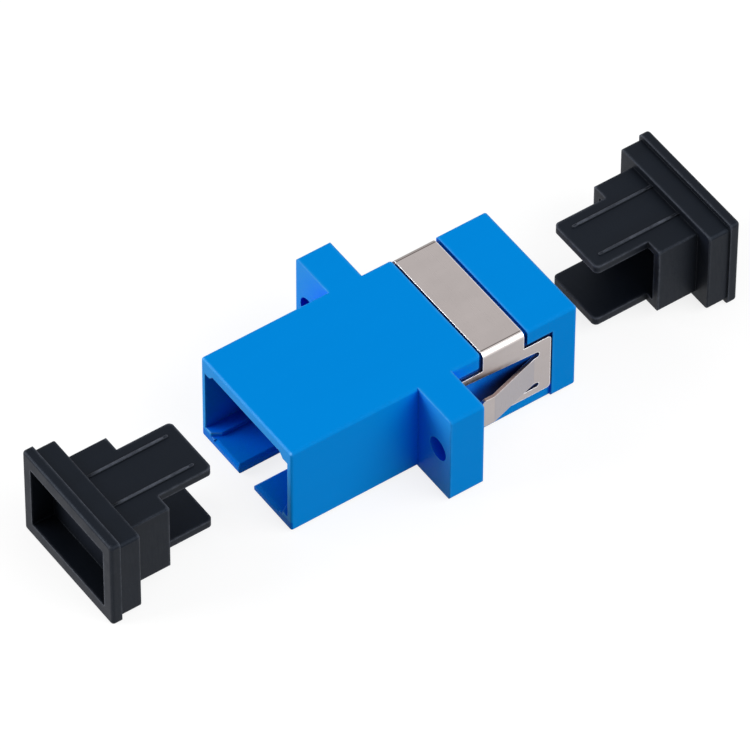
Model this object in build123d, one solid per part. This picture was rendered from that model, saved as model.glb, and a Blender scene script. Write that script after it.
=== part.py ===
from build123d import *
import os

# A flanged SC fibre adapter with its two dust caps, in millimetres.
# The origin is the middle of the bore that lines the two ferrules up. X is the way a plug goes in,
# with mouth A at -X and mouth B at +X. Y is the width, towards the flange holes. Z is up, keyways below.

# Housing: the cavity that takes the plugs, and the walls round it
cavity_width = 11.8
cavity_height = 7.4
side_wall = 0.55
top_wall = 1.15
bottom_wall = 0.85
body_length = 28.3
body_rounding = 0.25
mouth_rounding = 0.22
lead_in_depth = 0.25
lead_in_top = 0.1
lead_in_floor = 0.2

# Housing: corner rails that guide the plug, and the keyway under it
plug_width = 9.2
plug_side_gap = 0.05
rail_low = 0.4
rail_high = 0.5
rail_high_reach = 1.1
rail_ramp = 0.45
rail_taper = 0.5
rail_taper_length = 0.8
key_width = 2.2
key_depth = 6.5
key_chamfer = 0.25

# Housing: flange with two screw holes
flange_width = 22.0
flange_thickness = 3.3
flange_rounding = 0.3
hole_diameter = 2.2
hole_edge = 1.75

# Housing: low ridges that hold the two inserts once they are pushed in
ridge_height = 0.15
ridge_length = 0.8
ridge_width = 4.0
ridge_gap = 0.05

# Clip: one folded strip of spring steel
clip_thickness = 0.3
clip_bend = 0.2
strip_start = 4.76
strip_width = 4.09
strip_gap_front = 0.2
strip_gap_rear = 0.32
leg_end = 11.58
leg_end_gap = 0.15
leg_bottom = -3.22
leg_rounding = 0.35
shoulder_arm = 2.85
shoulder_end = 2.95
shoulder_gap_arm = 0.62
shoulder_gap_end = 0.36
recess_relief = 0.1
groove_corner = 0.4
arm_start = 2.1
arm_low = 0.72
arm_high_root = 1.18
arm_high_tip = 0.6
slot_end = 10.43
slot_high = 0.68
slot_low = 0.52
panel_gap = 2.05
tab_flat = 1.25
tab_flare = 1.5
tab_bend = 0.6
tab_rounding = 0.4
tab_root_length = 0.05

# Sleeve: split ceramic tube that holds the two ferrules in line
ferrule_diameter = 2.5
sleeve_outer = 3.2
sleeve_length = 11.4
sleeve_slot = 0.3
sleeve_lead_in = 0.12

# Inserts: two like halves, back to back, each with half of the sleeve holder and two hooks
insert_gap = 0.02
insert_base = 1.25
holder_wall = 0.75
sleeve_side_gap = 0.05
sleeve_end_gap = 0.05
lip_length = 0.55
lip_gap = 0.1
lip_lead_in = 0.3
hook_reach = 9.5
hook_inner = 3.25
hook_thickness = 0.8
hook_height = 3.8
hook_barb = 0.45
hook_barb_length = 1.5
hook_root = 0.5
window_gap = 0.1
peg_diameter = 1.2
peg_length = 0.8
peg_gap = 0.05
peg_place = 5.0

# Dust caps: rim, step that stops on the mouth, hollow block in the mouth, two tongues
rim_length = 0.95
rim_width = 12.85
rim_height = 9.5
step_length = 2.0
step_width = 12.5
step_height = 8.65
block_length = 3.9
cap_wall = 0.75
cap_hollow_wall = 1.0
cap_floor = 0.85
tongue_length = 5.25
tongue_width = 6.0
tongue_rounding = 0.45
rib_height = 0.1
rib_width = 0.26
rib_place = 1.86
rib_end = 1.05
rib_gap = 0.07
cap_rounding = 0.35
cap_edge = 0.12
cap_seat_gap = 0.05
cap_travel_a = 14.4
cap_travel_b = 13.55

# Places worked out from the sizes above
body_width = cavity_width + 2 * side_wall
body_height = cavity_height + top_wall + bottom_wall
top = cavity_height / 2 + top_wall
bottom = -cavity_height / 2 - bottom_wall
middle = (top + bottom) / 2
mouth = body_length / 2
guide_gap = plug_width + 2 * plug_side_gap
hole_spacing = flange_width - 2 * hole_edge
strip_end = strip_start + strip_width
seat = body_width / 2 - clip_thickness
holder_reach = sleeve_length / 2 + sleeve_end_gap
holder_bore = sleeve_outer / 2 + sleeve_side_gap
cap_length = rim_length + step_length + block_length + tongue_length
block_height = cavity_height - 2 * (rib_height + rib_gap)
cap_seated = mouth + cap_seat_gap + step_length + rim_length
tab_tip = flange_thickness / 2 + panel_gap


def block(x0, x1, y0, y1, z0, z1):
    """A box between two corners."""
    centre = Pos((x0 + x1) / 2, (y0 + y1) / 2, (z0 + z1) / 2)
    return centre * Box(x1 - x0, y1 - y0, z1 - z0)


def rod(radius, x0, x1, y=0, z=0):
    """A round rod along X."""
    return Pos((x0 + x1) / 2, y, z) * Rot(0, 90, 0) * Cylinder(radius, x1 - x0)


def slab(x0, x1, width, height, rounding, z=0):
    """A plate across X whose four long edges are rounded."""
    outline = Plane.YZ.offset(x0) * Pos(0, z) * RectangleRounded(width, height, rounding)
    return extrude(outline, amount=x1 - x0)


def cavity_section(x, up=0, down=0):
    """The cavity's outline at X, with its ceiling and floor moved out by those lengths.

    The rails in its lower corners are square, and those in its upper corners end in a ramp.
    """
    wall = cavity_width / 2
    guide = guide_gap / 2
    ramp = wall - rail_high_reach
    low_rail = -cavity_height / 2 + rail_low
    ceiling = cavity_height / 2 + up
    half = [
        (guide, -cavity_height / 2 - down),
        (guide, low_rail),
        (wall, low_rail),
        (wall, ceiling - rail_high),
        (ramp + rail_ramp, ceiling - rail_high),
        (ramp, ceiling),
    ]
    outline = half + [(-y, z) for y, z in reversed(half)]
    return Plane.YZ.offset(x) * Polygon(*outline, align=None)


def mouth_funnel():
    """The lead-in round mouth B, as a tool that flares outwards."""
    inner = cavity_section(mouth - lead_in_depth)
    outer = cavity_section(mouth + lead_in_depth, 2 * lead_in_top, 2 * lead_in_floor)
    return loft([inner.face(), outer.face()])


def rail_tapers():
    """The wedges that narrow the two lower rails towards mouth B, as a tool."""
    guide = guide_gap / 2
    wedge = Polygon(
        (mouth - rail_taper_length, guide),
        (mouth, guide + rail_taper),
        (mouth + 1, guide + rail_taper),
        (mouth + 1, guide - 1),
        (mouth - rail_taper_length, guide - 1),
        align=None,
    )
    tool = Pos(0, 0, -cavity_height / 2) * extrude(wedge, amount=rail_low, dir=(0, 0, 1))
    return tool + mirror(tool, Plane.XZ)


def keyway():
    """The keyway through the floor of mouth B, with its upper edges taken off, as a tool."""
    half = key_width / 2
    floor = -cavity_height / 2
    section = Polygon(
        (-half, bottom - 1),
        (half, bottom - 1),
        (half, floor - key_chamfer),
        (half + key_chamfer, floor),
        (half + key_chamfer, floor + rail_low),
        (-half - key_chamfer, floor + rail_low),
        (-half - key_chamfer, floor),
        (-half, floor - key_chamfer),
        align=None,
    )
    return extrude(Plane.YZ.offset(mouth - key_depth) * section, amount=key_depth + 1)


def clip_seat():
    """The groove over the top and the recess down each side that the clip lies in.

    The recess runs a little way into the flange's back, so that a panel lies flat on it.
    """
    groove_start = strip_start - strip_gap_front
    groove_end = strip_end + strip_gap_rear
    arm_recess_top = shoulder_arm + shoulder_gap_arm
    end_recess_top = shoulder_end + shoulder_gap_end
    core_height = 2 * body_height
    core_middle = top - clip_thickness - core_height / 2
    core = slab(groove_start, groove_end, 2 * seat, core_height, clip_bend + 0.05, core_middle)
    seats = block(groove_start, groove_end, -body_width, body_width, arm_recess_top - 1, top + 1) - core
    recess_start = flange_thickness / 2
    for side in (-1, 1):
        y0, y1 = sorted((side * seat, side * body_width))
        seats += block(recess_start, groove_end, y0, y1, bottom - 1, arm_recess_top)
        seats += block(groove_start, leg_end + leg_end_gap, y0, y1, bottom - 1, end_recess_top)
        y0, y1 = sorted((side * seat, side * body_width / 2))
        seats += block(recess_start - recess_relief, arm_start, y0, y1, bottom - 1, arm_recess_top)
        corner_x = groove_start - groove_corner
        corner_y = side * (body_width / 2 - groove_corner)
        y0, y1 = sorted((corner_y, side * body_width))
        corner = block(corner_x, groove_start, y0, y1, arm_recess_top, top + 1)
        seats += corner - Pos(corner_x, corner_y, top) * Cylinder(groove_corner, body_height)
    return seats


def insert_ridge():
    """A low ramp on the cavity floor, towards mouth B, that an insert clicks behind."""
    start = insert_base + ridge_gap
    floor = -cavity_height / 2
    side = Plane.XZ * Polygon(
        (start, floor - ridge_height),
        (start, floor + ridge_height),
        (start + ridge_length, floor),
        (start + ridge_length, floor - ridge_height),
        align=None,
    )
    return extrude(side, amount=ridge_width / 2, both=True)


def build_housing():
    body = slab(-mouth, mouth, body_width, body_height, body_rounding, middle)
    ends = body.faces().sort_by(Axis.X)
    body = fillet(ends[0].edges() + ends[-1].edges(), mouth_rounding)
    half_flange = flange_thickness / 2
    body += slab(-half_flange, half_flange, flange_width, body_height, flange_rounding, middle)
    body -= extrude(cavity_section(-mouth - 1), amount=body_length + 2)
    for tool in (mouth_funnel(), rail_tapers(), keyway()):
        body -= tool
        body -= mirror(tool, Plane.YZ)
    for side in (-1, 1):
        body -= rod(hole_diameter / 2, -half_flange - 1, half_flange + 1, side * hole_spacing / 2, middle)
    body -= clip_seat()
    ridge = insert_ridge()
    for copy in (ridge, mirror(ridge, Plane.YZ)):
        body += copy
        body += mirror(copy, Plane.XY)
    return body


def clip_leg_outline():
    """The flat part of a leg in X and Z: neck, plate and two arms, with the tab's window cut out.

    It also gives the tab's lower edge, its upper edge and the place where it leaves the plate.
    """
    low_slot_top = leg_bottom + arm_low + slot_low
    high_slot_top = shoulder_end - arm_high_root
    tab_top = high_slot_top - slot_high
    low_root = slot_end - slot_low / 2
    high_root = slot_end - slot_high / 2
    tab_root = high_root - tab_root_length
    outline = Pos((strip_start + leg_end) / 2, (shoulder_end + leg_bottom) / 2) * RectangleRounded(
        leg_end - strip_start, shoulder_end - leg_bottom, leg_rounding
    )
    arms_end = strip_start + leg_rounding
    outline += Pos((arm_start + arms_end) / 2, (shoulder_arm + leg_bottom) / 2) * Rectangle(
        arms_end - arm_start, shoulder_arm - leg_bottom
    )
    neck_top = shoulder_end + clip_bend
    outline += Pos((strip_start + strip_end) / 2, (leg_bottom + neck_top) / 2) * Rectangle(
        strip_width, neck_top - leg_bottom
    )
    outline -= Polygon(
        (arm_start - 1, leg_bottom + arm_low),
        (low_root, leg_bottom + arm_low),
        (low_root, low_slot_top),
        (tab_root, low_slot_top),
        (tab_root, tab_top),
        (high_root, tab_top),
        (high_root, high_slot_top),
        (arm_start, shoulder_arm - arm_high_tip),
        (arm_start - 1, shoulder_arm - arm_high_tip),
        align=None,
    )
    outline -= Pos(low_root, low_slot_top - slot_low / 2) * Circle(slot_low / 2)
    outline -= Pos(high_root, tab_top + slot_high / 2) * Circle(slot_high / 2)
    return outline, low_slot_top, tab_top, tab_root


def clip_tab(bottom_edge, top_edge, root):
    """The sprung tab on the -Y leg: it flares out towards the flange and ends flat again."""
    y = -seat - clip_thickness / 2
    out = y - tab_flare
    path = FilletPolyline(
        (root, y, 0),
        (root - tab_bend / 4, y, 0),
        (tab_tip + tab_flat, out, 0),
        (tab_tip, out, 0),
        radius=tab_bend,
    )
    section = Plane(origin=(root, y, 0), x_dir=(0, 1, 0), z_dir=(-1, 0, 0)) * Rectangle(
        clip_thickness, top_edge - bottom_edge
    )
    tab = Pos(0, 0, (top_edge + bottom_edge) / 2) * sweep(section, path)
    tip = tab.faces().sort_by(Axis.X)[0]
    return fillet(tip.edges().filter_by(Axis.Y), tab_rounding)


def build_clip():
    outline, tab_bottom, tab_top, tab_root = clip_leg_outline()
    leg = extrude(Plane.XZ.offset(seat) * outline, amount=clip_thickness)
    leg += clip_tab(tab_bottom, tab_top, tab_root)
    x = (strip_start + strip_end) / 2
    side = seat + clip_thickness / 2
    over = top - clip_thickness / 2
    path = FilletPolyline(
        (x, -side, shoulder_end),
        (x, -side, over),
        (x, side, over),
        (x, side, shoulder_end),
        radius=clip_bend + clip_thickness / 2,
    )
    section = Plane(origin=(x, -side, shoulder_end), x_dir=(1, 0, 0), z_dir=(0, 0, 1)) * Rectangle(
        strip_width, clip_thickness
    )
    return sweep(section, path) + leg + mirror(leg, Plane.XZ)


def insert_hook():
    """The hook on the +Y side of insert A, with a barb at its tip that holds the plug."""
    outer = hook_inner + hook_thickness
    tip = -hook_reach
    root = -insert_base
    side = Polygon(
        (root / 2, outer),
        (tip, outer),
        (tip, hook_inner + hook_thickness / 4),
        (tip + hook_barb_length * 0.6, hook_inner - hook_barb),
        (tip + hook_barb_length * 0.75, hook_inner - hook_barb),
        (tip + hook_barb_length, hook_inner),
        (root - hook_root, hook_inner),
        (root, hook_inner - hook_root),
        (root / 2, hook_inner - hook_root),
        align=None,
    )
    return extrude(side, amount=hook_height / 2, both=True)


def build_insert():
    """Insert A, which faces mouth A. Its twin faces the other way."""
    base = offset(cavity_section(-insert_base), -insert_gap, kind=Kind.INTERSECTION)
    body = extrude(base, amount=insert_base)
    holder_end = -holder_reach - lip_length
    body += rod(holder_bore + holder_wall, holder_end, -insert_base / 2)
    hook = insert_hook()
    window_top = hook_inner
    window_bottom = hook_inner - hook_barb - window_gap
    window = block(-insert_base - hook_root, 1, window_bottom, window_top, -hook_height / 2, hook_height / 2)
    hook -= window
    for copy in (hook, mirror(hook, Plane.XZ)):
        body += copy
    for cut in (window, mirror(window, Plane.XZ)):
        body -= cut
    lip = ferrule_diameter / 2 + lip_gap
    body -= rod(holder_bore, -holder_reach, 1)
    body -= rod(lip, holder_end - 1, 0)
    funnel = Cone(lip, lip + lip_lead_in, lip_lead_in)
    body -= Pos(holder_end + lip_lead_in / 2, 0, 0) * Rot(0, -90, 0) * funnel
    body += rod(peg_diameter / 2, -insert_base / 2, peg_length, peg_place)
    body -= rod(peg_diameter / 2 + peg_gap, -peg_length - peg_gap, 1, -peg_place)
    return body


def build_sleeve():
    half = sleeve_length / 2
    sleeve = rod(sleeve_outer / 2, -half, half)
    sleeve -= rod(ferrule_diameter / 2, -half - 1, half + 1)
    lead_in = Cone(ferrule_diameter / 2, ferrule_diameter / 2 + sleeve_lead_in, sleeve_lead_in)
    sleeve -= Pos(half - sleeve_lead_in / 2, 0, 0) * Rot(0, 90, 0) * lead_in
    sleeve -= Pos(-half + sleeve_lead_in / 2, 0, 0) * Rot(0, -90, 0) * lead_in
    return sleeve - block(-half - 1, half + 1, -sleeve_slot / 2, sleeve_slot / 2, 0, sleeve_outer)


def cap_tongue():
    """The upper tongue, from inside the block to its rounded tip, with its two ribs."""
    step_front = rim_length + step_length
    high = block_height / 2
    half = tongue_width / 2
    tongue = block(cap_length - tongue_length - cap_wall, cap_length, -half, half, high - cap_wall, high)
    tip = tongue.faces().sort_by(Axis.X)[-1]
    tongue = fillet(tip.edges().filter_by(Axis.Z), tongue_rounding)
    rib_tip = cap_length - rib_end - rib_width / 2
    for side in (-1, 1):
        y = side * rib_place
        outline = Pos((step_front + rib_tip) / 2, y) * Rectangle(rib_tip - step_front, rib_width)
        outline += Pos(rib_tip, y) * Circle(rib_width / 2)
        tongue += Pos(0, 0, high - cap_wall / 2) * extrude(outline, amount=cap_wall / 2 + rib_height)
    return tongue


def build_cap():
    """A cap with its rim face at X = 0 and its tongues towards +X."""
    step_front = rim_length + step_length
    block_front = step_front + block_length
    rim = slab(0, rim_length, rim_width, rim_height, cap_rounding)
    rim = fillet(rim.faces().sort_by(Axis.X)[0].edges(), cap_rounding - 0.05)
    step = slab(rim_length / 2, step_front, step_width, step_height, cap_rounding)
    step = fillet(step.faces().sort_by(Axis.X)[-1].edges(), cap_edge)
    plug = slab(rim_length, block_front, plug_width, block_height, cap_edge)
    cap = rim + step + plug
    cap -= slab(
        -1,
        step_front - cap_floor,
        step_width - 2 * cap_hollow_wall,
        step_height - 2 * cap_hollow_wall,
        cap_edge,
    )
    cap -= slab(step_front, block_front + 1, plug_width - 2 * cap_wall, block_height - 2 * cap_wall, cap_edge)
    tongue = cap_tongue()
    return cap + tongue + mirror(tongue, Plane.XY)


def write(name, solid):
    solid.label = name
    export_step(solid, f"parts/{name}.step")
    box = solid.bounding_box()
    print(name, len(solid.solids()), round(solid.volume, 2), box.min, box.max)


def main():
    os.makedirs("parts", exist_ok=True)
    write("housing", build_housing())
    write("retention_clip", build_clip())
    insert = build_insert()
    write("latch_insert_a", insert)
    write("latch_insert_b", Rot(0, 0, 180) * insert)
    write("alignment_sleeve", build_sleeve())
    cap = build_cap()
    write("dust_cap_a", Pos(-cap_seated - cap_travel_a, 0, 0) * cap)
    write("dust_cap_b", Rot(0, 0, 180) * Pos(-cap_seated - cap_travel_b, 0, 0) * cap)


main()
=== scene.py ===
import math

import bpy
from bpy.props import FloatProperty, FloatVectorProperty, IntProperty, PointerProperty
from mathutils import Matrix, Vector


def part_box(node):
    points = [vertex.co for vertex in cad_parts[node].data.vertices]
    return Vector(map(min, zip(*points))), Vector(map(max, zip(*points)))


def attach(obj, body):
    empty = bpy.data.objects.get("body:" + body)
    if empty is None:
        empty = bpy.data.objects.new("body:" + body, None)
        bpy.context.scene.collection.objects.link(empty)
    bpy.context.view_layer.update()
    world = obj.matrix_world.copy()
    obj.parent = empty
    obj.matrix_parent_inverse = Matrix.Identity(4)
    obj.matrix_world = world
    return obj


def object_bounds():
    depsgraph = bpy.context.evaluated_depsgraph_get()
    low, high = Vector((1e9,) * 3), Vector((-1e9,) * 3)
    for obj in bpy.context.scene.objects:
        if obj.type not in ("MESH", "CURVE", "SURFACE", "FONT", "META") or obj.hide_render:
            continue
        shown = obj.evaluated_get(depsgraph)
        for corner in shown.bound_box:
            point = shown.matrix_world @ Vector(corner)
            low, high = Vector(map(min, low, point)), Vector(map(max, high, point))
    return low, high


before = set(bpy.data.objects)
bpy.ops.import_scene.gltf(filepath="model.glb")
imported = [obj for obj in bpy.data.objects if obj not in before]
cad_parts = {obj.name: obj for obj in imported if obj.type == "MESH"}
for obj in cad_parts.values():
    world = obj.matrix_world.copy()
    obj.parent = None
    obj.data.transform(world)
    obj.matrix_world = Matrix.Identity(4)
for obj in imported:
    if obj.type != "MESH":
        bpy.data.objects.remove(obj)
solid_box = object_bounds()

bl_info = {
    "name": "Fibre adapter",
    "version": (1, 0, 0),
    "blender": (4, 5, 0),
    "location": "3D View > Sidebar > Adapter",
    "description": (
        "Finishes a flanged fibre adapter, its spring clip and its dust caps, and sets its studio"
    ),
    "category": "Material",
}

MILLIMETRE = 0.001


# Sizes and colours a user would change


def colour(name, description, default):
    return FloatVectorProperty(
        name=name, description=description, subtype="COLOR", size=3, min=0.0, max=1.0,
        default=default,
    )


def length(name, description, millimetres):
    return FloatProperty(
        name=name, description=description, unit="LENGTH", subtype="DISTANCE", min=0.0,
        precision=6, default=millimetres * MILLIMETRE,
    )


def factor(name, description, default):
    return FloatProperty(
        name=name, description=description, subtype="FACTOR", min=0.0, max=1.0, default=default
    )


def angle(name, description, degrees):
    return FloatProperty(
        name=name, description=description, unit="ROTATION", subtype="ANGLE",
        default=math.radians(degrees),
    )


def distance(name, description, metres):
    return FloatProperty(
        name=name, description=description, unit="LENGTH", subtype="DISTANCE", default=metres
    )


def number(name, description, default):
    return FloatProperty(name=name, description=description, default=default)


class HousingFinish(bpy.types.PropertyGroup):
    body: colour("Blue", "Colour of the moulded housing", (0.0, 0.228, 0.672))
    flow: colour(
        "Flow mark", "Slightly deeper colour of the moulding's flow marks", (0.0, 0.225, 0.665)
    )
    # Painted sheen: a paler colour on the open faces that look along the adapter, standing in for
    # their reflection of the light
    end_face: colour(
        "End faces", "Colour of the faces that look along the adapter", (0.022, 0.262, 0.672)
    )
    # Painted shade and bounce light: a richer blue where the piece's own walls close in, inside
    # the mouths and in corners
    hollow_shade: colour("Hollows", "Richer colour inside the mouths and in corners", (0.0, 0.075, 1.0))
    shade: colour("Shade", "Deeper colour close to other pieces", (0.0, 0.11, 0.58))
    # Painted shade: a dark colour under other pieces and deep in narrow gaps
    crevice_shade: colour(
        "Crevices", "Dark colour under other pieces and deep in narrow gaps", (0.003, 0.007, 0.045)
    )
    # Painted highlight: a paler colour along the outer edges, standing in for light caught on
    # their roundings
    edge: colour("Edges", "Paler colour along the outer edges", (0.02, 0.275, 0.74))
    # Painted highlight: the palest colour on the edges between the top and the ends, fullest at
    # the mouths
    end_edge_highlight: colour(
        "Rubbed edges", "Palest colour, where plugs and caps rub the mouths' edges",
        (0.20, 0.52, 0.92)
    )
    hollow_reach: length("Hollow reach", "How far a wall tints its neighbours", 9.0)
    crevice_reach: length("Crevice reach", "How near a wall makes a crevice", 1.8)
    edge_width: length("Edge width", "How far the paler edge reaches", 0.32)
    edge_round: length("Edge rounding", "How far the shading is softened over the edges", 0.16)
    grain_size: length("Grain size", "Size of the fine moulded grain", 0.09)
    grain_depth: length("Grain depth", "Depth of the fine moulded grain", 0.0022)
    roughness: factor("Roughness", "How matt the plastic is", 0.40)
    lip_shade: factor(
        "Lip shade", "How much of the shade colour the mouths' lower lips take", 0.75
    )


class InsertFinish(bpy.types.PropertyGroup):
    body: colour("Blue", "Colour of the two latch inserts", (0.0, 0.195, 0.60))
    flow: colour(
        "Flow mark", "Slightly deeper colour of the moulding's flow marks", (0.0, 0.188, 0.59)
    )
    end_face: colour(
        "End faces", "Colour of the faces that look along the adapter", (0.0, 0.195, 0.60)
    )
    # Painted shade and bounce light: a richer blue where the insert's own walls close in
    hollow_shade: colour("Hollows", "Richer colour in corners and hollows", (0.0, 0.105, 0.68))
    shade: colour("Shade", "Deeper colour close to other pieces", (0.0, 0.105, 0.60))
    # Painted shade: a dark colour deep in narrow gaps
    crevice_shade: colour("Crevices", "Dark colour deep in narrow gaps", (0.0, 0.025, 0.22))
    # Painted highlight: a paler colour along the insert's outer edges
    edge: colour("Edges", "Paler colour along the outer edges", (0.02, 0.24, 0.68))
    # Painted highlight: the palest colour on the insert's edges between the top and the ends
    end_edge_highlight: colour(
        "Rubbed edges", "Palest colour, where plugs and caps rub the edges", (0.08, 0.33, 0.76)
    )
    hollow_reach: length("Hollow reach", "How far a wall tints its neighbours", 4.0)
    crevice_reach: length("Crevice reach", "How near a wall makes a crevice", 1.5)
    edge_width: length("Edge width", "How far the paler edge reaches", 0.16)
    edge_round: length("Edge rounding", "How far the shading is softened over the edges", 0.08)
    grain_size: length("Grain size", "Size of the fine moulded grain", 0.07)
    grain_depth: length("Grain depth", "Depth of the fine moulded grain", 0.0015)
    roughness: factor("Roughness", "How matt the plastic is", 0.38)
    lip_shade: factor("Lip shade", "How much of the shade colour the lower lips take", 0.0)


class CapFinish(bpy.types.PropertyGroup):
    body: colour("Black", "Colour of the dust caps", (0.0022, 0.0036, 0.0068))
    flow: colour(
        "Flow mark", "Slightly deeper colour of the moulding's flow marks",
        (0.0014, 0.0024, 0.0048)
    )
    # Painted sheen: a paler black on the cap's open end faces
    end_face: colour(
        "End faces", "Colour of the faces that look along the adapter", (0.0035, 0.0045, 0.0085)
    )
    # Painted shade: a deeper black where the cap's own walls close in
    hollow_shade: colour("Hollows", "Deeper colour in corners and hollows", (0.0004, 0.0006, 0.0012))
    shade: colour("Shade", "Deeper colour close to other pieces", (0.0004, 0.0006, 0.0012))
    # Painted shade: the darkest colour, in the narrowest gaps
    crevice_shade: colour("Crevices", "Darkest colour, in the narrowest gaps", (0.0003, 0.0004, 0.0008))
    # Painted highlight: thin pale lines along the cap's outer edges
    edge: colour("Edges", "Paler colour along the outer edges", (0.072, 0.080, 0.100))
    # Painted highlight: the palest colour on the cap's edges between the top and the ends
    end_edge_highlight: colour(
        "Rubbed edges", "Palest colour, where fingers and housings rub the edges",
        (0.075, 0.083, 0.100)
    )
    hollow_reach: length("Hollow reach", "How far a wall shades its neighbours", 4.0)
    crevice_reach: length("Crevice reach", "How near a wall makes a crevice", 1.5)
    edge_width: length("Edge width", "How far the paler edge reaches", 0.34)
    edge_round: length("Edge rounding", "How far the shading is softened over the edges", 0.07)
    grain_size: length("Grain size", "Size of the fine moulded grain", 0.12)
    grain_depth: length("Grain depth", "Depth of the fine moulded grain", 0.003)
    roughness: factor("Roughness", "How matt the plastic is", 0.5)
    lip_shade: factor("Lip shade", "How much of the shade colour the lower lips take", 0.0)


class RibCrowns(bpy.types.PropertyGroup):
    width: length("Width", "Width of the rounded crown on each rib", 0.36)
    height: length("Height", "How far the crown stands above the tongue", 0.16)
    run: length("Length", "Length of a crown, from the cap's step towards the tongue's tip", 8.05)
    start: length("Start", "Distance from the rim's face to the start of a crown", 2.95)
    place: length("Place", "Distance of a crown from the middle of the tongue", 1.86)
    rise: length("Rise", "Height of the tongue's flat above the middle", 3.53)
    steps: IntProperty(
        name="Steps", description="Rings along one crown", default=40, min=8, max=120
    )


class ClipFinish(bpy.types.PropertyGroup):
    steel: colour("Steel", "Colour of the rolled steel", (0.465, 0.42, 0.41))
    # Painted highlight: a paler colour on the bend at -Y, standing in for the softbox mirrored
    # there
    bend: colour("Bends", "Paler colour where the strip is folded down", (0.70, 0.65, 0.635))
    # Painted shade: a darker colour on the bend at +Y
    far_bend_shade: colour("Dull bend", "Darker colour of the bend on the +Y side", (0.30, 0.27, 0.26))
    # Painted shade: a darker colour on the tabs, chosen by how far their faces lean
    tab_shade: colour("Tabs", "Darker colour of the two sprung tabs", (0.37, 0.345, 0.36))
    cut_edge: colour("Cut edge", "Colour of the sheared edges", (0.20, 0.155, 0.145))
    # Painted highlight: a bright thin line along the steel's edges
    rim: colour("Rim", "Bright colour of the thin rim along the edges", (0.95, 0.95, 0.97))
    # Painted shade: a thin dark line where each bend starts, standing in for the dark it reflects
    # there
    fold_shade: colour(
        "Fold mark", "Darker colour of the thin line where the strip was folded",
        (0.12, 0.10, 0.095)
    )
    # Painted shade: a dark band along the slot's upper edge, standing in for the dark the arm's
    # edge reflects there
    slot_shade: colour(
        "Stain", "Dark colour of the stain along the slot's upper edge", (0.07, 0.065, 0.065)
    )
    slot_shade_width: length("Stain width", "How far the stain reaches above the slot", 0.55)
    slot_top: length(
        "Slot top", "Height of the slot's upper edge, carried on to the middle plane", 2.376
    )
    slot_slope: number("Slot slope", "Fall of the slot's upper edge", 0.06)
    leg_face: length("Leg face", "Distance of the legs' outer faces from the middle", 6.45)
    fold_place: length("Fold place", "Distance of the fold lines from the middle", 5.98)
    fold_width: length("Fold width", "Width of a fold line", 0.13)
    strip_top: length("Strip top", "Height of the strip's upper face above the middle", 4.85)
    # Width of the painted highlight along the edges
    rim_width: length("Rim width", "How far the bright stamped edge reaches over a face", 0.10)
    line_pitch: length("Line pitch", "Distance between the fine rolling lines", 0.05)
    line_depth: length("Line depth", "Depth of the fine rolling lines", 0.0004)
    roughness: factor("Roughness", "How dull the steel is", 0.3)


class SleeveFinish(bpy.types.PropertyGroup):
    ceramic: colour("Ceramic", "Colour of the split sleeve", (0.86, 0.85, 0.81))
    grain_size: length("Grain size", "Size of the ceramic's faint clouding", 0.35)
    roughness: factor("Roughness", "How dull the ceramic is", 0.12)


class Studio(bpy.types.PropertyGroup):
    floor_size: distance("Floor size", "Side of the square floor", 6.0)
    floor_grey: factor("Floor", "How pale the floor is as a surface", 0.24)
    sky: number("Sky", "Strength of the even light all round", 0.35)
    front_light: number("Front light", "Brightness of the front softbox", 3.0)
    front_side: distance("Front side", "Side of the front softbox", 1.0)
    back_light: number("Back light", "Brightness of the softbox behind", 7.1)
    back_side: distance("Back side", "Side of the softbox behind", 0.7)
    camera_place: FloatVectorProperty(
        name="Camera", description="Where the camera stands", unit="LENGTH",
        subtype="TRANSLATION", size=3, default=(-0.282009, -0.399457, 0.547242),
    )
    turn: angle("Turn", "Angle of the camera round the upright axis", -35.0854)
    tilt: angle("Tilt", "Angle of the camera above the floor", 48.2424)
    roll: angle("Roll", "Lean of the camera", 0.2656)
    focal_length: number("Lens", "Focal length in millimetres", 431.44)


# Where an effect on the moulded plastic begins and where it is full. Heights, and distances
# from the middle, in millimetres

FLOOR_FADE = (-3.1, -2.3)  # walls make crevices only this high above the floor
STRIP_FADE = (4.1, 4.7)  # up here the steel strip's nearness counts less
MOUTH_FADE = (11.0, 13.0)  # out here the painted highlight on the edges is full
LIP_TOP = (-3.5, -3.65)  # down here are the mouths' lower lips
LIP_PLACE = (12.0, 13.5)  # and this far out

# Openness where an effect begins and where it is full: 1 on a free face, 0 in a closed corner

ENCLOSED = (0.78, 0.36)
DEEP = (0.30, 0.05)
NARROW = (0.45, 0.15)
PLASTIC_EDGE = (0.88, 0.62)
CAP_EDGE = (0.74, 0.54)
STEEL_EDGE = (0.85, 0.65)

# The same for the share of the openness that other pieces take away

BESIDE = (0.01, 0.14)
COVERED = (0.09, 0.60)

# Shares of a face's direction along an axis

SQUARE_ON = 0.9
SLANTED = 0.3
TAB_LEAN = (0.04, 0.16)
TAB_LEAN_MOST = 0.6
ON_BEND = (0.02, 0.35)

# Where the steel changes, and how far the shading of steel and ceramic is rounded

STRIP_DEPTH = 0.6 * MILLIMETRE
OFF_LEG = (0.03 * MILLIMETRE, 0.15 * MILLIMETRE)
# Where the painted shade above the slot begins and is full, and between which lengths it runs
SLOT_SHADE_START = -0.02 * MILLIMETRE
SLOT_SHADE_FULL = 0.1 * MILLIMETRE
SLOT_SHADE_ENDS = (7.0 * MILLIMETRE, 8.6 * MILLIMETRE)
STEEL_ROUND = 0.12 * MILLIMETRE
STEEL_FINE_ROUND = 0.03 * MILLIMETRE
CERAMIC_ROUND = 0.04 * MILLIMETRE

# How far each pattern is drawn out along the adapter, across it and upright

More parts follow.
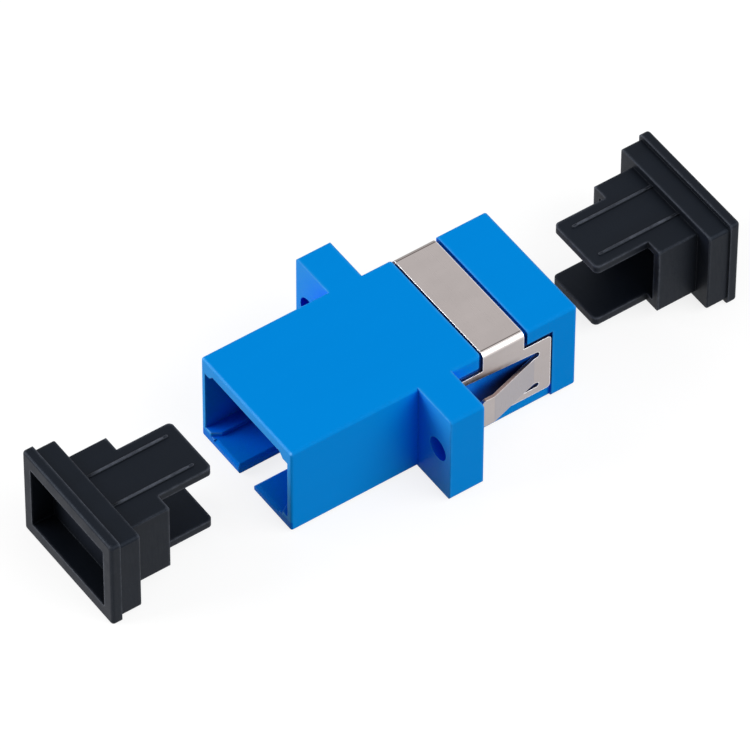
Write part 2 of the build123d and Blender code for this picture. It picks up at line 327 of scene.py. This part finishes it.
FLOW_STRETCH = (6.0, 1.0, 1.0)
RUB_STRETCH = (0.25, 2.0, 2.0)
ROLLED_STRETCH = (1.0, 40.0, 40.0)
CLOUD_STRETCH = (1.5, 1.0, 1.0)

# Gloss, and the rays that measure openness and round an edge

BLUE_TINT = (0.0, 0.6, 1.0)
BLACK_TINT = (0.68, 0.80, 1.0)
HOUSING_SPECULAR = 0.03
INSERT_SPECULAR = 0.07
CAP_SPECULAR = 0.17
CERAMIC_SPECULAR = 0.6
PLASTIC_IOR = 1.5
ROUGHNESS_SWING = 0.03
RAYS = 6

# Rib crowns

CROWN_SIDES = 20
CLOSED_END = 0.0001

# Studio: the floor is lifted to just over white where it is seen

WHITE = (1.0, 1.0, 1.0, 1.0)
SEEN_FLOOR = 1.04
FLOOR_RETURN = 0.95
FRONT_PLACE = (0.42, -0.72, 0.54)
BACK_PLACE = (-0.80, 0.53, 0.34)
MIDDLE = (0.0, 0.0, 0.0)
SENSOR_WIDTH = 36.0
CLIP_NEAR = 0.01
CLIP_FAR = 20.0

# Sockets for colours on a Mix node, which has others for numbers and vectors

MIX_SHARE, MIX_FIRST, MIX_SECOND, MIX_RESULT = 0, 6, 7, 2


# Node building


class Chain:
    """A node tree that is filled from left to right."""

    spacing = 220

    def __init__(self, tree):
        self.tree = tree

    def add(self, kind, inputs=None, **settings):
        node = self.tree.nodes.new(kind)
        for key, value in settings.items():
            setattr(node, key, value)
        for key, value in (inputs or {}).items():
            if isinstance(value, bpy.types.NodeSocket):
                self.tree.links.new(value, node.inputs[key])
            else:
                node.inputs[key].default_value = value
        node.location = (self.spacing * len(self.tree.nodes), 0)
        return node

    def math(self, operation, *values):
        return self.add("ShaderNodeMath", dict(enumerate(values)), operation=operation).outputs[0]

    def product(self, first, *others):
        for other in others:
            first = self.math("MULTIPLY", first, other)
        return first

    def highest(self, first, *others):
        for other in others:
            first = self.math("MAXIMUM", first, other)
        return first

    def magnitude(self, value):
        return self.math("ABSOLUTE", value)

    def one_minus(self, value):
        return self.math("SUBTRACT", 1.0, value)


class Sheet(Chain):
    """The node tree of a new material."""

    def __init__(self, name):
        self.material = bpy.data.materials.new(name)
        self.material.use_nodes = True
        super().__init__(self.material.node_tree)
        self.tree.nodes.clear()

    def spread(self, value, low, high, new_low=0.0, new_high=1.0):
        inputs = {
            "Value": value, "From Min": low, "From Max": high,
            "To Min": new_low, "To Max": new_high,
        }
        return self.add("ShaderNodeMapRange", inputs).outputs["Result"]

    def mix(self, share, first, second):
        first, second = (
            tone if isinstance(tone, bpy.types.NodeSocket) else (*tone, 1.0)
            for tone in (first, second)
        )
        inputs = {MIX_SHARE: share, MIX_FIRST: first, MIX_SECOND: second}
        return self.add("ShaderNodeMix", inputs, data_type="RGBA").outputs[MIX_RESULT]

    def parts(self, vector):
        return self.add("ShaderNodeSeparateXYZ", {"Vector": vector}).outputs

    def coordinates(self):
        return self.add("ShaderNodeTexCoord").outputs

    def millimetres(self, stretch=(1.0, 1.0, 1.0)):
        """Object coordinates in millimetres, stretched along each axis."""
        scale = [1.0 / (MILLIMETRE * s) for s in stretch]
        inputs = {"Vector": self.coordinates()["Object"], "Scale": scale}
        return self.add("ShaderNodeMapping", inputs).outputs["Vector"]

    def noise(self, vector, scale, detail=2.0, rough=0.5):
        inputs = {"Vector": vector, "Scale": scale, "Detail": detail, "Roughness": rough}
        return self.add("ShaderNodeTexNoise", inputs, normalize=True).outputs["Fac"]

    def openness(self, reach, **settings):
        """How open a place is: 1 on a free face, lower where walls stand within that reach."""
        node = self.add(
            "ShaderNodeAmbientOcclusion", {"Distance": reach}, samples=RAYS, **settings
        )
        return node.outputs["AO"]

    def rounded(self, width):
        """A normal that rounds the edges by that width."""
        return self.add("ShaderNodeBevel", {"Radius": width}, samples=RAYS).outputs["Normal"]

    def outer_edge(self, width, start, full):
        """1 on the outer edges and 0 from that width inwards, by how thin the solid is there."""
        return self.spread(self.openness(width, inside=True, only_local=True), start, full)

    def finish(self, **inputs):
        named = {key.replace("_", " "): value for key, value in inputs.items()}
        shader = self.add("ShaderNodeBsdfPrincipled", named)
        self.add("ShaderNodeOutputMaterial", {"Surface": shader.outputs["BSDF"]})
        return self.material


def scaled(tone, share):
    return [share * channel for channel in tone]


def moulded_plastic(name, look, specular, tint, edge_at=PLASTIC_EDGE):
    """Moulded plastic: flow marks, fine grain and small rubs, with painted shade in hollows and
    crevices, a painted sheen on open end faces and painted highlights on the edges.
    """
    sheet = Sheet(name)
    place = sheet.millimetres()
    x, _, z = sheet.parts(place)
    off_middle = sheet.magnitude(x)
    endwise = sheet.magnitude(sheet.parts(sheet.coordinates()["Normal"])[0])
    on_end = sheet.math("GREATER_THAN", endwise, SQUARE_ON)
    above_floor = sheet.spread(z, *FLOOR_FADE)

    # Walls nearby: all of them, the piece's own, and what the other pieces add
    near = sheet.openness(look.crevice_reach)
    own = sheet.openness(look.crevice_reach, only_local=True)
    blocked = sheet.product(
        sheet.one_minus(sheet.math("DIVIDE", near, own)), above_floor,
        sheet.spread(z, *STRIP_FADE, 1.0, 0.4),
    )
    # How closed in a place is by the piece's own walls: the mask of the painted shade in hollows
    enclosed = sheet.spread(sheet.openness(look.hollow_reach, only_local=True), *ENCLOSED)
    lip = sheet.product(
        sheet.spread(z, *LIP_TOP, 0.0, look.lip_shade), sheet.spread(off_middle, *LIP_PLACE),
        sheet.math("GREATER_THAN", endwise, SLANTED),
    )
    in_shade = sheet.highest(sheet.spread(blocked, *BESIDE), lip)
    in_hollow = sheet.highest(enclosed, in_shade)
    narrow = sheet.product(sheet.spread(near, *NARROW, 0.0, 0.7), above_floor)
    covered = sheet.spread(blocked, *COVERED)
    far_in = sheet.openness(3.0 * look.hollow_reach, only_local=True)
    deep = sheet.spread(far_in, *DEEP, 0.0, 0.75)

    # Colour, from the body to the painted shade of the hollows and crevices, with a painted sheen
    # on the open end faces
    marks = sheet.spread(sheet.noise(sheet.millimetres(FLOW_STRETCH), 0.45, 3.0), 0.35, 0.7)
    marked = sheet.mix(marks, look.body, look.flow)
    # Painted sheen on the open end faces, kept out of the hollows
    on_open_end = sheet.product(on_end, sheet.spread(enclosed, 0.0, 0.4, 0.8, 0.0))
    end_sheened = sheet.mix(on_open_end, marked, look.end_face)
    # Painted shade: the hollows' colour where the own walls close in, and the shade colour near
    # other pieces and on the lower lips
    hollowed = sheet.mix(in_shade, sheet.mix(enclosed, end_sheened, look.hollow_shade), look.shade)
    # Painted shade: the crevices' colour under other pieces, in narrow gaps and deep inside
    shaded = sheet.mix(sheet.highest(covered, narrow, deep), hollowed, look.crevice_shade)

    # Painted highlights: paler edges, and the palest on the edges between the top and the ends,
    # fullest at the mouths
    patchy = sheet.spread(sheet.noise(place, 1.3, 3.0), 0.3, 0.72, 0.35, 1.0)
    # Painted highlight along the outer edges, kept out of the hollows
    edge = sheet.outer_edge(look.edge_width, *edge_at)
    open_edge = sheet.product(edge, sheet.spread(in_hollow, 0.2, 0.7, 1.0, 0.0))
    edged = sheet.mix(sheet.product(open_edge, patchy), shaded, look.edge)
    normal = sheet.rounded(look.edge_round)
    turned_x, _, turned_z = sheet.parts(normal)
    end_and_top = sheet.product(sheet.magnitude(turned_x), turned_z)
    on_end_edge_highlight = sheet.product(
        sheet.spread(end_and_top, 0.12, 0.36), sheet.spread(open_edge, 0.1, 0.6),
        sheet.spread(off_middle, *MOUTH_FADE, 0.35, 1.0), sheet.spread(patchy, 0.3, 1.0, 0.7, 1.0),
    )
    end_edge_highlight = sheet.mix(on_end_edge_highlight, edged, look.end_edge_highlight)

    # Gloss and grain
    grain = sheet.noise(place, MILLIMETRE / look.grain_size, 2.0, 0.6)
    rubs = sheet.noise(sheet.millimetres(RUB_STRETCH), 1.3, 4.0)
    matt = sheet.spread(
        grain, 0.3, 0.7, look.roughness - ROUGHNESS_SWING, look.roughness + ROUGHNESS_SWING
    )
    bump = sheet.add("ShaderNodeBump", {
        "Height": grain, "Distance": look.grain_depth, "Strength": 0.6, "Normal": normal
    })
    return sheet.finish(
        Base_Color=end_edge_highlight,
        Roughness=sheet.math("ADD", matt, sheet.spread(rubs, 0.3, 0.75, -0.04, 0.05)),
        Normal=bump.outputs["Normal"],
        Specular_IOR_Level=specular,
        Specular_Tint=(*tint, 1.0),
        IOR=PLASTIC_IOR,
    )


def rolled_steel(name, look):
    """Rolled spring steel: fine lines along the strip and faint clouds, with painted highlights on
    the near bend and along the edges, and painted shade on the tabs, the far bend, the folds and
    above the slot.
    """
    sheet = Sheet(name)
    coordinates = sheet.coordinates()
    x, y, z = sheet.parts(coordinates["Object"])
    facing_x, _, facing_z = sheet.parts(coordinates["Normal"])
    endwise = sheet.magnitude(facing_x)
    from_middle = sheet.magnitude(y)
    below_top = sheet.math("LESS_THAN", z, look.strip_top - STRIP_DEPTH)

    # Sheet metal with its clouds and rolling lines
    lines = sheet.noise(
        sheet.millimetres(ROLLED_STRETCH), MILLIMETRE / look.line_pitch, 2.0, 0.6
    )
    clouds = sheet.spread(sheet.noise(sheet.millimetres(CLOUD_STRETCH), 0.5, 3.0), 0.3, 0.75)
    steel = sheet.mix(clouds, look.steel, scaled(look.steel, 0.93))
    streaks = sheet.spread(lines, 0.35, 0.7, 0.0, 0.06)
    streaked = sheet.mix(streaks, steel, scaled(look.steel, 1.12))

    # Painted shade on the tabs, the far bend and the folds, and a painted highlight on the near
    # bend
    # Painted shade on the tabs, found by how far the faces lean along the adapter
    on_tab = sheet.product(
        sheet.spread(endwise, *TAB_LEAN), sheet.math("LESS_THAN", endwise, TAB_LEAN_MOST)
    )
    tabbed = sheet.mix(on_tab, streaked, look.tab_shade)
    _, turned_y, turned_z = sheet.parts(sheet.rounded(STEEL_ROUND))
    on_bend = sheet.math("MINIMUM", sheet.magnitude(turned_y), turned_z)
    # Painted highlight on the bend at -Y, painted shade on the bend at +Y
    bend = sheet.mix(sheet.math("GREATER_THAN", y, 0.0), look.bend, look.far_bend_shade)
    bent = sheet.mix(sheet.spread(on_bend, *ON_BEND), tabbed, bend)
    # Painted shade along the folds on the strip's top
    off_fold = sheet.magnitude(sheet.math("SUBTRACT", from_middle, look.fold_place))
    on_fold = sheet.spread(off_fold, look.fold_width / 2, look.fold_width / 5)
    fold_shaded = sheet.mix(sheet.product(on_fold, sheet.one_minus(below_top)), bent, look.fold_shade)

    # Sheared faces, and the painted highlight along their rims
    end_face = sheet.math("GREATER_THAN", endwise, SQUARE_ON)
    level_face = sheet.math("GREATER_THAN", sheet.magnitude(facing_z), SQUARE_ON)
    stamped = sheet.highest(end_face, sheet.product(below_top, level_face))
    off_tab = sheet.spread(
        from_middle, look.leg_face + OFF_LEG[0], look.leg_face + OFF_LEG[1], 1.0, 0.15
    )
    # Painted highlight along the edges, weaker on the tabs
    rim = sheet.product(sheet.outer_edge(look.rim_width, *STEEL_EDGE), off_tab)
    cut = sheet.mix(rim, sheet.mix(stamped, fold_shaded, look.cut_edge), look.rim)

    # Painted shade above the slot, where the arm's lower edge turns dark
    fall = sheet.product(x, look.slot_slope)
    above_slot = sheet.math("SUBTRACT", sheet.math("ADD", z, fall), look.slot_top)
    slot_shade = sheet.product(
        sheet.math("GREATER_THAN", above_slot, SLOT_SHADE_START),
        sheet.spread(above_slot, SLOT_SHADE_FULL, look.slot_shade_width, 1.0, 0.0),
        sheet.spread(x, *SLOT_SHADE_ENDS, 1.0, 0.0),
        sheet.spread(sheet.noise(sheet.millimetres(), 0.9, 3.0), 0.35, 0.6, 0.25, 0.75),
    )
    slot_shaded = sheet.mix(slot_shade, cut, look.slot_shade)

    dull = sheet.spread(
        lines, 0.3, 0.7, look.roughness - ROUGHNESS_SWING, look.roughness + ROUGHNESS_SWING
    )
    bump = sheet.add("ShaderNodeBump", {
        "Height": lines, "Distance": look.line_depth, "Strength": 0.3,
        "Normal": sheet.rounded(STEEL_FINE_ROUND),
    })
    return sheet.finish(
        Base_Color=slot_shaded, Metallic=1.0, Roughness=dull, Normal=bump.outputs["Normal"]
    )


def polished_ceramic(name, look):
    """Polished white ceramic with a faint clouding."""
    sheet = Sheet(name)
    noise = sheet.noise(sheet.millimetres(), MILLIMETRE / look.grain_size, 3.0)
    clouds = sheet.spread(noise, 0.3, 0.7)
    return sheet.finish(
        Base_Color=sheet.mix(clouds, look.ceramic, scaled(look.ceramic, 0.95)),
        Roughness=sheet.spread(clouds, 0.0, 1.0, look.roughness - 0.03, look.roughness + 0.05),
        Normal=sheet.rounded(CERAMIC_ROUND),
        Specular_IOR_Level=CERAMIC_SPECULAR,
    )


def dress(node, material):
    """Gives a node of the frame its finish."""
    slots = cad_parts[node].data.materials
    slots.clear()
    slots.append(material)


# Operators: one for each piece or group of like pieces


class ADAPTER_OT_finish_housing(bpy.types.Operator):
    """Gives the housing its moulded blue finish"""

    bl_idname = "adapter.finish_housing"
    bl_label = "Finish the housing"

    def execute(self, context):
        look = context.scene.housing_finish
        dress("housing", moulded_plastic("housing_blue", look, HOUSING_SPECULAR, BLUE_TINT))
        return {"FINISHED"}


class ADAPTER_OT_finish_inserts(bpy.types.Operator):
    """Gives the two latch inserts their moulded blue finish"""

    bl_idname = "adapter.finish_inserts"
    bl_label = "Finish the latch inserts"

    def execute(self, context):
        look = context.scene.insert_finish
        blue = moulded_plastic("insert_blue", look, INSERT_SPECULAR, BLUE_TINT)
        for node in ("latch_insert_a", "latch_insert_b"):
            dress(node, blue)
        return {"FINISHED"}


class ADAPTER_OT_finish_clip(bpy.types.Operator):
    """Gives the spring clip its rolled steel finish"""

    bl_idname = "adapter.finish_clip"
    bl_label = "Finish the spring clip"

    def execute(self, context):
        dress("retention_clip", rolled_steel("clip_steel", context.scene.clip_finish))
        return {"FINISHED"}


class ADAPTER_OT_finish_sleeve(bpy.types.Operator):
    """Gives the split sleeve its ceramic finish"""

    bl_idname = "adapter.finish_sleeve"
    bl_label = "Finish the split sleeve"

    def execute(self, context):
        look = context.scene.sleeve_finish
        dress("alignment_sleeve", polished_ceramic("sleeve_ceramic", look))
        return {"FINISHED"}


class ADAPTER_OT_finish_caps(bpy.types.Operator):
    """Gives the two dust caps their matt black finish"""

    bl_idname = "adapter.finish_caps"
    bl_label = "Finish the dust caps"

    def execute(self, context):
        look = context.scene.cap_finish
        black = moulded_plastic("cap_black", look, CAP_SPECULAR, BLACK_TINT, CAP_EDGE)
        for node in ("dust_cap_a", "dust_cap_b"):
            dress(node, black)
        return {"FINISHED"}


class Maker(Chain):
    """A geometry node tree with named inputs."""

    def __init__(self, name, inputs):
        super().__init__(bpy.data.node_groups.new(name, "GeometryNodeTree"))
        for label, kind in inputs:
            self.tree.interface.new_socket(label, in_out="INPUT", socket_type=kind)
        self.tree.interface.new_socket(
            "Geometry", in_out="OUTPUT", socket_type="NodeSocketGeometry"
        )
        self.given = self.tree.nodes.new("NodeGroupInput").outputs

    def end(self, geometry):
        self.tree.links.new(geometry, self.tree.nodes.new("NodeGroupOutput").inputs[0])
        return self.tree


def rib_crown_tree():
    """Four rounded crowns with rounded ends: one pair on the upper tongue, one on the lower."""
    lengths = ("Width", "Height", "Start", "Reach", "Place", "Rise")
    make = Maker("rib_crowns", [
        *((label, "NodeSocketFloat") for label in lengths),
        ("Steps", "NodeSocketInt"),
        ("Finish", "NodeSocketMaterial"),
    ])
    given = make.given

    # A line along X whose points crowd together at its ends
    line = make.add("GeometryNodeCurvePrimitiveLine", {"End": (MILLIMETRE, 0.0, 0.0)})
    line = make.add("GeometryNodeResampleCurve", {
        "Curve": line.outputs["Curve"], "Count": given["Steps"]
    })
    share = make.add("GeometryNodeSplineParameter").outputs["Factor"]
    swing = make.math("COSINE", make.product(share, math.pi))
    eased = make.math("SUBTRACT", 0.5, make.product(0.5, swing))
    x = make.math("ADD", given["Start"], make.product(given["Reach"], eased))
    spot = make.add("ShaderNodeCombineXYZ", {"X": x}).outputs["Vector"]
    line = make.add("GeometryNodeSetPosition", {
        "Geometry": line.outputs["Curve"], "Position": spot
    })

    # Half an ellipse deep, and rounded off over half a width at either end
    radius = make.product(given["Width"], 0.5)
    share_from_end = make.math("MINIMUM", eased, make.one_minus(eased))
    from_end = make.product(share_from_end, make.magnitude(given["Reach"]))
    inward = make.one_minus(make.math("MINIMUM", make.math("DIVIDE", from_end, radius), 1.0))
    squared = make.highest(make.one_minus(make.product(inward, inward)), CLOSED_END)
    swell = make.math("SQRT", squared)
    ring = make.add("GeometryNodeCurvePrimitiveCircle", {
        "Resolution": CROWN_SIDES, "Radius": radius
    })
    sweep = make.add("GeometryNodeCurveToMesh", {
        "Curve": line.outputs["Geometry"], "Profile Curve": ring.outputs["Curve"],
        "Scale": swell, "Fill Caps": True,
    })
    flatness = make.math("DIVIDE", given["Height"], radius)
    flatten = make.add("ShaderNodeCombineXYZ", {"X": 1.0, "Y": 1.0, "Z": flatness})
    crown = make.add("GeometryNodeTransform", {
        "Geometry": sweep.outputs["Mesh"], "Scale": flatten.outputs["Vector"]
    })

    # One crown on each corner of an upright rectangle
    corners = make.add("GeometryNodeMeshGrid", {
        "Size X": make.product(given["Rise"], 2.0), "Size Y": make.product(given["Place"], 2.0),
        "Vertices X": 2, "Vertices Y": 2,
    })
    upright = make.add("GeometryNodeTransform", {
        "Geometry": corners.outputs["Mesh"], "Rotation": (0.0, math.radians(90.0), 0.0)
    })
    copies = make.add("GeometryNodeInstanceOnPoints", {
        "Points": upright.outputs["Geometry"], "Instance": crown.outputs["Geometry"]
    })
    real = make.add("GeometryNodeRealizeInstances", {"Geometry": copies.outputs["Instances"]})
    smooth = make.add("GeometryNodeSetShadeSmooth", {"Geometry": real.outputs["Geometry"]})
    coloured = make.add("GeometryNodeSetMaterial", {
        "Geometry": smooth.outputs["Geometry"], "Material": given["Finish"]
    })
    return make.end(coloured.outputs["Geometry"])


def made_by(tree, name, values):
    """A plain mesh object from a geometry node tree, with its inputs set by name."""
    piece = bpy.data.objects.new(name, bpy.data.meshes.new(name + "_seed"))
    bpy.context.scene.collection.objects.link(piece)
    modifier = piece.modifiers.new("make", "NODES")
    modifier.node_group = tree
    sockets = {
        item.name: item.identifier for item in tree.interface.items_tree if item.in_out == "INPUT"
    }
    for label, value in values.items():
        modifier[sockets[label]] = value
    shape = piece.evaluated_get(bpy.context.evaluated_depsgraph_get())
    result = bpy.data.meshes.new_from_object(shape)
    piece.modifiers.remove(modifier)
    piece.data = result
    result.name = name
    return piece


class ADAPTER_OT_add_rib_crowns(bpy.types.Operator):
    """Adds the rounded crowns on the ribs of the two caps' tongues"""

    bl_idname = "adapter.add_rib_crowns"
    bl_label = "Add the rib crowns"

    def execute(self, context):
        size = context.scene.rib_crowns
        tree = rib_crown_tree()
        for end, way in (("a", 1), ("b", -1)):
            low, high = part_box("dust_cap_" + end)
            rim = low[0] if way == 1 else high[0]
            piece = made_by(tree, "rib_crowns_" + end, {
                "Width": size.width,
                "Height": size.height,
                "Start": rim + way * size.start,
                "Reach": way * size.run,
                "Place": size.place,
                "Rise": size.rise,
                "Steps": size.steps,
                "Finish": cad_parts["dust_cap_" + end].data.materials[0],
            })
            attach(piece, "cap_" + end)
        return {"FINISHED"}


def seen_directly(chain):
    """1 for a ray that shows a thing, straight or in a reflection, and 0 for one that lights."""
    ray = chain.add("ShaderNodeLightPath").outputs
    return chain.highest(ray["Is Camera Ray"], ray["Is Glossy Ray"], ray["Is Transmission Ray"])


def floor_paper(name, grey):
    """Pale paper: its own grey takes the shadow, and light is added to white where it is seen."""
    sheet = Sheet(name)
    fibres = sheet.noise(sheet.millimetres(), 0.8, 3.0)
    pale = sheet.mix(fibres, (grey * 0.99,) * 3, (grey * 1.01,) * 3)
    paper = sheet.add("ShaderNodeBsdfDiffuse", {"Color": pale}).outputs["BSDF"]
    lift = sheet.product(seen_directly(sheet), SEEN_FLOOR - grey * FLOOR_RETURN)
    glow = sheet.add("ShaderNodeEmission", {"Color": WHITE, "Strength": lift}).outputs["Emission"]
    both = sheet.add("ShaderNodeAddShader", {0: paper, 1: glow}).outputs["Shader"]
    sheet.add("ShaderNodeOutputMaterial", {"Surface": both})
    return sheet.material


def even_sky(world, strength):
    """An even white sky: plain white where it is seen, and of that strength where it lights."""
    world.use_nodes = True
    world.node_tree.nodes.clear()
    chain = Chain(world.node_tree)
    light = chain.add("ShaderNodeBackground", {"Color": WHITE, "Strength": strength})
    seen = chain.add("ShaderNodeBackground", {"Color": WHITE})
    mixed = chain.add("ShaderNodeMixShader", {
        0: seen_directly(chain), 1: light.outputs[0], 2: seen.outputs[0]
    })
    chain.add("ShaderNodeOutputWorld", {"Surface": mixed.outputs[0]})


def softbox(name, place, side, radiance):
    """A square lamp of that side and brightness, turned towards the middle."""
    lamp = bpy.data.lights.new(name, "AREA")
    lamp.shape = "SQUARE"
    lamp.size = side
    lamp.energy = radiance * math.pi * side * side
    lamp_object = bpy.data.objects.new(name, lamp)
    bpy.context.scene.collection.objects.link(lamp_object)
    turn = (Vector(MIDDLE) - Vector(place)).to_track_quat("-Z", "Y")
    lamp_object.matrix_world = Matrix.Translation(place) @ turn.to_matrix().to_4x4()


def camera_turn(turn, tilt, roll):
    """The camera's axes for a turn about the upright, a height above the floor and a lean."""
    level = math.cos(tilt)
    back = Vector((math.sin(turn) * level, -math.cos(turn) * level, math.sin(tilt)))
    right = Vector((0.0, 0.0, 1.0)).cross(back).normalized()
    axes = Matrix((right, back.cross(right), back)).transposed()
    return (axes @ Matrix.Rotation(roll, 3, "Z")).to_4x4()


class ADAPTER_OT_set_studio(bpy.types.Operator):
    """Sets the floor, the light and the camera"""

    bl_idname = "adapter.set_studio"
    bl_label = "Set the studio"

    def execute(self, context):
        scene = context.scene
        studio = scene.studio

        half = studio.floor_size / 2
        height = solid_box[0][2]
        mesh = bpy.data.meshes.new("floor")
        corners = [
            (x * half, y * half, height) for x, y in ((-1, -1), (1, -1), (1, 1), (-1, 1))
        ]
        mesh.from_pydata(corners, [], [(0, 1, 2, 3)])
        mesh.materials.append(floor_paper("floor_paper", studio.floor_grey))
        floor = bpy.data.objects.new("floor", mesh)
        scene.collection.objects.link(floor)

        scene.world = bpy.data.worlds.new("studio_sky")
        even_sky(scene.world, studio.sky)
        softbox("front_softbox", FRONT_PLACE, studio.front_side, studio.front_light)
        softbox("back_softbox", BACK_PLACE, studio.back_side, studio.back_light)

        camera = bpy.data.cameras.new("camera")
        camera.lens = studio.focal_length
        camera.sensor_width = SENSOR_WIDTH
        camera.clip_start = CLIP_NEAR
        camera.clip_end = CLIP_FAR
        camera_object = bpy.data.objects.new("camera", camera)
        scene.collection.objects.link(camera_object)
        place = Matrix.Translation(studio.camera_place)
        camera_object.matrix_world = place @ camera_turn(studio.turn, studio.tilt, studio.roll)
        scene.camera = camera_object
        scene.view_settings.view_transform = "Standard"
        return {"FINISHED"}


class ADAPTER_PT_sidebar(bpy.types.Panel):
    """Lists the adapter's finishes and its studio"""

    bl_idname = "ADAPTER_PT_sidebar"
    bl_label = "Fibre adapter"
    bl_space_type = "VIEW_3D"
    bl_region_type = "UI"
    bl_category = "Adapter"

    def draw(self, context):
        for name, (group, operator) in STEPS.items():
            box = self.layout.box()
            settings = getattr(context.scene, name)
            for field in group.__annotations__:
                box.prop(settings, field)
            box.operator(operator.bl_idname)


STEPS = {
    "studio": (Studio, ADAPTER_OT_set_studio),
    "housing_finish": (HousingFinish, ADAPTER_OT_finish_housing),
    "insert_finish": (InsertFinish, ADAPTER_OT_finish_inserts),
    "clip_finish": (ClipFinish, ADAPTER_OT_finish_clip),
    "sleeve_finish": (SleeveFinish, ADAPTER_OT_finish_sleeve),
    "cap_finish": (CapFinish, ADAPTER_OT_finish_caps),
    "rib_crowns": (RibCrowns, ADAPTER_OT_add_rib_crowns),
}

CLASSES = (
    *(group for group, _ in STEPS.values()),
    *(operator for _, operator in STEPS.values()),
    ADAPTER_PT_sidebar,
)


def register():
    for cls in CLASSES:
        bpy.utils.register_class(cls)
    for name, (group, _) in STEPS.items():
        setattr(bpy.types.Scene, name, PointerProperty(type=group))


def unregister():
    for name in STEPS:
        delattr(bpy.types.Scene, name)
    for cls in reversed(CLASSES):
        bpy.utils.unregister_class(cls)


def main():
    register()
    bpy.ops.adapter.set_studio()
    bpy.ops.adapter.finish_housing()
    bpy.ops.adapter.finish_inserts()
    bpy.ops.adapter.finish_clip()
    bpy.ops.adapter.finish_sleeve()
    bpy.ops.adapter.finish_caps()
    bpy.ops.adapter.add_rib_crowns()


if __name__ == "__main__":
    main()
